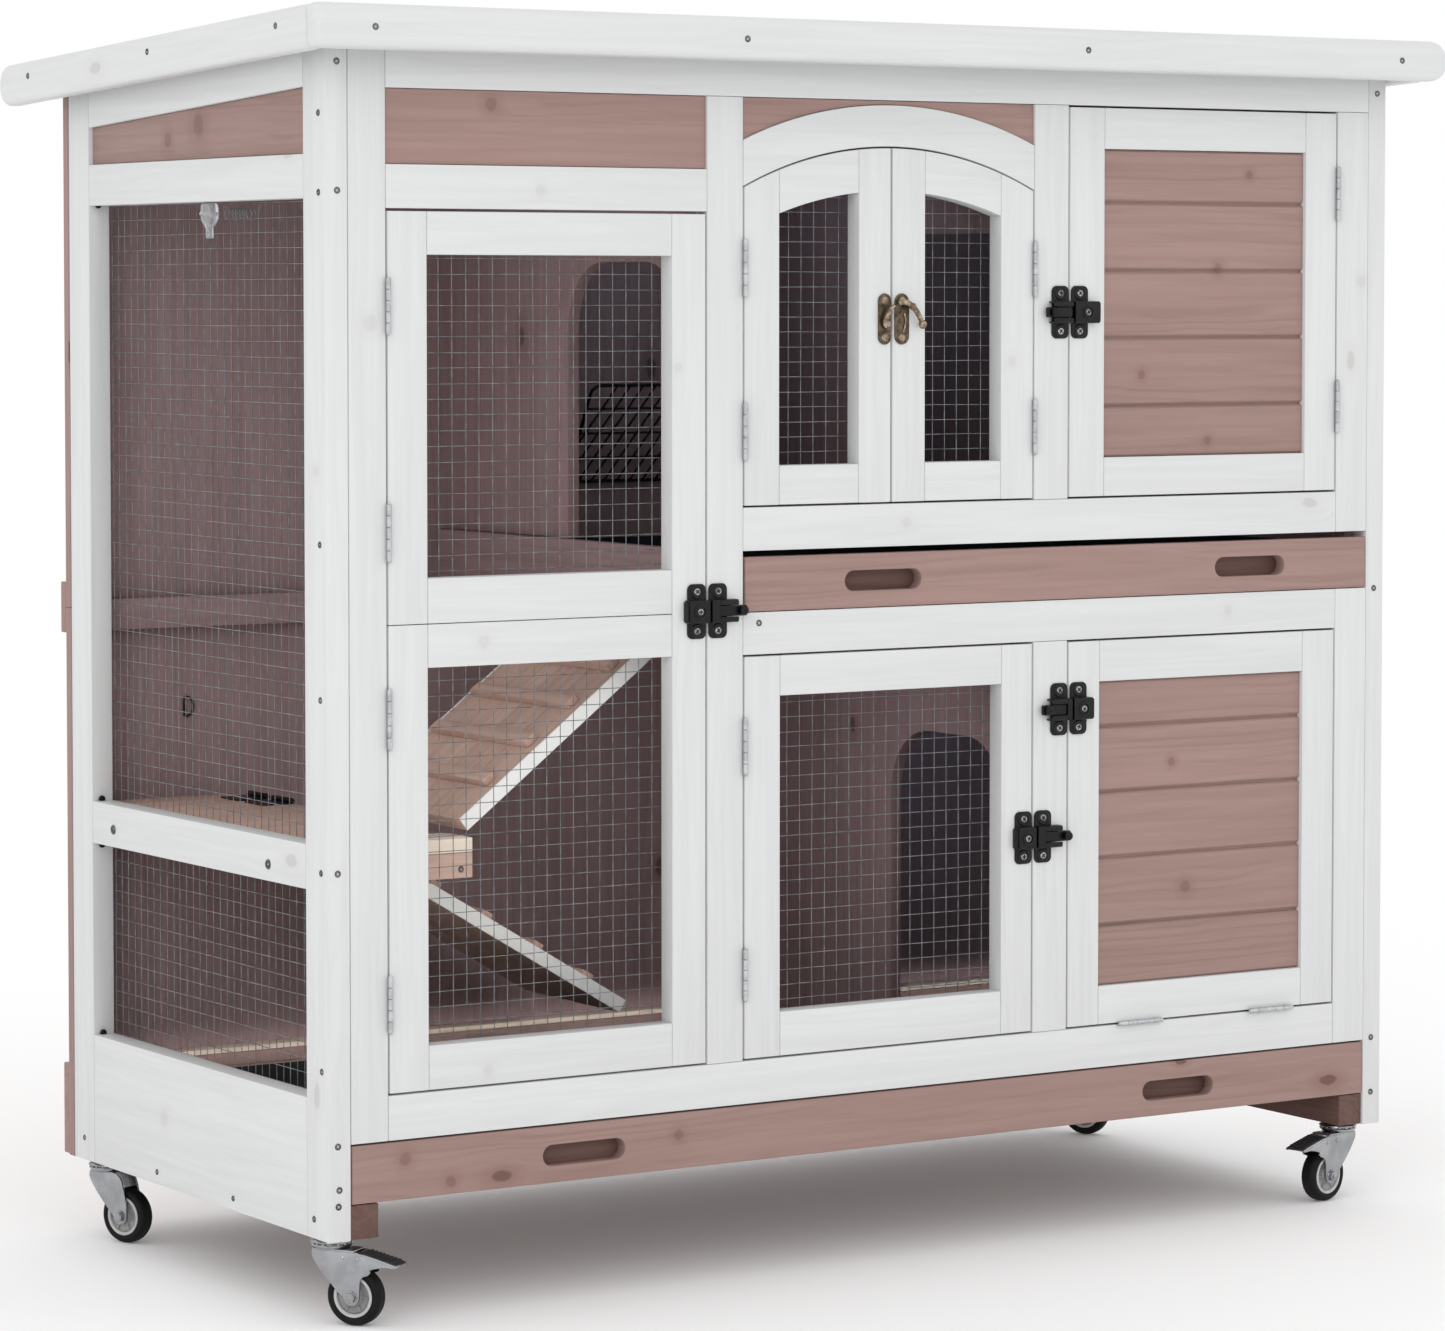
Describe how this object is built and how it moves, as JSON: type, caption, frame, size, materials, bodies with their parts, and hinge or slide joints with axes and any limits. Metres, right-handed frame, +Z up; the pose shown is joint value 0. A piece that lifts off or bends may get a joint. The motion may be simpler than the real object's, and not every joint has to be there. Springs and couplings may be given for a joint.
{
  "type": "rabbit hutch",
  "caption": "Two-storey wooden rabbit hutch on casters, with a lift-up roof, wire and slatted doors, arched double doors, ramps and pull-out trays.",
  "frame": {"origin": "centre of the bounding box on the floor under the wheels", "axes": "+X along the length, from the wire run to the nest rooms; +Y from the doors to the back wall; +Z up"},
  "size_m": [1.156, 0.6042, 1.06],
  "materials": {
    "white_wood": "white-washed satin paint over faint grain",
    "brown_wood": "rose-brown matt stain with visible grain",
    "raw_wood": "pale unpainted softwood",
    "zinc_mesh": "galvanised welded wire",
    "black_metal": "black satin lacquer",
    "bright_steel": "bright zinc plate",
    "antique_brass": "antiqued",
    "tyre_rubber": "matt",
    "roof_felt": "mineral felt"
  },
  "bodies": {
    "hutch_body": {"left_side_frame": "white_wood", "left_side_mesh": "zinc_mesh", "left_gable_board": "brown_wood", "right_side_frame": "white_wood", "right_side_board": "brown_wood", "front_left_stile": "white_wood", "front_middle_stile": "white_wood", "front_top_rail": "white_wood", "front_header_rail": "white_wood", "front_header_board": "brown_wood", "front_arch_header": "white_wood", "front_arch_board": "brown_wood", "front_upper_frame": "white_wood", "front_lower_frame": "white_wood", "back_upper_wall": "brown_wood", "back_lower_wall": "brown_wood", "back_tray_batten": "brown_wood", "upper_left_partition": "brown_wood", "upper_right_partition": "brown_wood", "lower_partition": "brown_wood", "tray_sill_board": "brown_wood", "landing_platform": "raw_wood", "left_skid": "brown_wood", "right_skid": "brown_wood", "hay_rack": "black_metal"},
    "roof": {"roof_deck": "roof_felt", "roof_front_trim": "white_wood", "roof_left_trim": "white_wood", "roof_right_trim": "white_wood"},
    "tall_door": {"tall_door_frame": "white_wood", "tall_door_mesh": "zinc_mesh"},
    "arch_left_door": {"arch_left_door_frame": "white_wood", "arch_left_door_mesh": "zinc_mesh"},
    "arch_right_door": {"arch_right_door_frame": "white_wood", "arch_right_door_mesh": "zinc_mesh"},
    "upper_right_door": {"upper_right_door_frame": "white_wood", "upper_right_door_slats": "brown_wood"},
    "lower_middle_door": {"lower_middle_door_frame": "white_wood", "lower_middle_door_mesh": "zinc_mesh"},
    "lower_right_door": {"lower_right_door_frame": "white_wood", "lower_right_door_slats": "brown_wood"},
    "upper_tray": {"upper_tray": "brown_wood"},
    "lower_tray": {"lower_tray": "brown_wood"},
    "upper_ramp": {"upper_ramp": "raw_wood"},
    "lower_ramp": {"lower_ramp": "raw_wood"},
    "tall_door_bolt": {"tall_door_bolt": "black_metal"},
    "upper_right_bolt": {"upper_right_bolt": "black_metal"},
    "lower_right_bolt": {"lower_right_bolt": "black_metal"},
    "lower_middle_bolt": {"lower_middle_bolt": "black_metal"},
    "arch_door_hook": {"arch_door_hook": "antique_brass"},
    "front_left_caster": {"front_left_fork": "bright_steel"},
    "front_left_wheel": {"front_left_wheel": "tyre_rubber"},
    "front_left_brake": {"front_left_brake_pedal": "bright_steel"},
    "front_right_caster": {"front_right_fork": "bright_steel"},
    "front_right_wheel": {"front_right_wheel": "tyre_rubber"},
    "front_right_brake": {"front_right_brake_pedal": "bright_steel"},
    "back_left_caster": {"back_left_fork": "bright_steel"},
    "back_left_wheel": {"back_left_wheel": "tyre_rubber"},
    "back_right_caster": {"back_right_fork": "bright_steel"},
    "back_right_wheel": {"back_right_wheel": "tyre_rubber"}
  },
  "joints": [
    {"name": "roof_lid", "type": "hinge", "parent": "hutch_body", "child": "roof", "pos_m": [0, 0.24076, 1.0196], "axis": [-1, 0, 0], "range_deg": [0, 75]},
    {"name": "tall_door_hinge", "type": "hinge", "parent": "hutch_body", "child": "tall_door", "pos_m": [-0.4898, -0.25624, 0.542], "axis": [0, 0, -1], "range_deg": [0, 170]},
    {"name": "arch_left_hinge", "type": "hinge", "parent": "hutch_body", "child": "arch_left_door", "pos_m": [-0.1501, -0.25624, 0.77], "axis": [0, 0, -1], "range_deg": [0, 165]},
    {"name": "arch_right_hinge", "type": "hinge", "parent": "hutch_body", "child": "arch_right_door", "pos_m": [0.1494, -0.25624, 0.77], "axis": [0, 0, 1], "range_deg": [0, 140]},
    {"name": "upper_right_hinge", "type": "hinge", "parent": "hutch_body", "child": "upper_right_door", "pos_m": [0.4877, -0.25624, 0.82], "axis": [0, 0, 1], "range_deg": [0, 170]},
    {"name": "lower_middle_hinge", "type": "hinge", "parent": "hutch_body", "child": "lower_middle_door", "pos_m": [-0.1501, -0.25624, 0.356], "axis": [0, 0, -1], "range_deg": [0, 165]},
    {"name": "lower_right_drop", "type": "hinge", "parent": "hutch_body", "child": "lower_right_door", "pos_m": [0.337, -0.25624, 0.1855], "axis": [1, 0, 0], "range_deg": [0, 90]},
    {"name": "upper_tray_slide", "type": "slide", "parent": "hutch_body", "child": "upper_tray", "axis": [0, -1, 0], "range_m": [0, 0.4]},
    {"name": "lower_tray_slide", "type": "slide", "parent": "hutch_body", "child": "lower_tray", "axis": [0, -1, 0], "range_m": [0, 0.4]},
    {"name": "upper_ramp_hinge", "type": "hinge", "parent": "hutch_body", "child": "upper_ramp", "pos_m": [-0.3945, -0.11524, 0.3875], "axis": [0, -1, 0], "range_deg": [0, 40]},
    {"name": "lower_ramp_hinge", "type": "hinge", "parent": "hutch_body", "child": "lower_ramp", "pos_m": [-0.394, 0.10326, 0.373], "axis": [0, -1, 0], "range_deg": [0, 55]},
    {"name": "tall_door_bolt_slide", "type": "slide", "parent": "hutch_body", "child": "tall_door_bolt", "axis": [-1, 0, 0], "range_m": [0, 0.016]},
    {"name": "upper_right_bolt_slide", "type": "slide", "parent": "hutch_body", "child": "upper_right_bolt", "axis": [1, 0, 0], "range_m": [0, 0.016]},
    {"name": "lower_right_bolt_slide", "type": "slide", "parent": "hutch_body", "child": "lower_right_bolt", "axis": [1, 0, 0], "range_m": [0, 0.016]},
    {"name": "lower_middle_bolt_slide", "type": "slide", "parent": "hutch_body", "child": "lower_middle_bolt", "axis": [-1, 0, 0], "range_m": [0, 0.016]},
    {"name": "arch_hook_pivot", "type": "hinge", "parent": "arch_right_door", "child": "arch_door_hook", "pos_m": [0.0165, -0.25924, 0.8205], "axis": [0, 1, 0], "range_deg": [0, 80]},
    {"name": "front_left_swivel", "type": "hinge", "parent": "hutch_body", "child": "front_left_caster", "pos_m": [-0.529, -0.22774, 0.064], "axis": [0, 0, 1], "continuous": true},
    {"name": "front_left_roll", "type": "hinge", "parent": "front_left_caster", "child": "front_left_wheel", "pos_m": [-0.51607, -0.24554, 0.024], "axis": [0.809, 0.5878, 0], "continuous": true},
    {"name": "front_left_brake_press", "type": "hinge", "parent": "front_left_caster", "child": "front_left_brake", "pos_m": [-0.51313, -0.24958, 0.055], "axis": [0.809, 0.5878, 0], "range_deg": [0, 8]},
    {"name": "front_right_swivel", "type": "hinge", "parent": "hutch_body", "child": "front_right_caster", "pos_m": [0.515, -0.22974, 0.064], "axis": [0, 0, 1], "continuous": true},
    {"name": "front_right_roll", "type": "hinge", "parent": "front_right_caster", "child": "front_right_wheel", "pos_m": [0.49348, -0.23431, 0.024], "axis": [0.2079, -0.9781, 0], "continuous": true},
    {"name": "front_right_brake_press", "type": "hinge", "parent": "front_right_caster", "child": "front_right_brake", "pos_m": [0.48859, -0.23535, 0.055], "axis": [0.2079, -0.9781, 0], "range_deg": [0, 8]},
    {"name": "back_left_swivel", "type": "hinge", "parent": "hutch_body", "child": "back_left_caster", "pos_m": [-0.529, 0.19126, 0.064], "axis": [0, 0, 1], "continuous": true},
    {"name": "back_left_roll", "type": "hinge", "parent": "back_left_caster", "child": "back_left_wheel", "pos_m": [-0.52005, 0.17117, 0.024], "axis": [0.9135, 0.4067, 0], "continuous": true},
    {"name": "back_right_swivel", "type": "hinge", "parent": "hutch_body", "child": "back_right_caster", "pos_m": [0.515, 0.19126, 0.064], "axis": [0, 0, 1], "continuous": true},
    {"name": "back_right_roll", "type": "hinge", "parent": "back_right_caster", "child": "back_right_wheel", "pos_m": [0.526, 0.17221, 0.024], "axis": [0.866, 0.5, 0], "continuous": true}
  ]
}
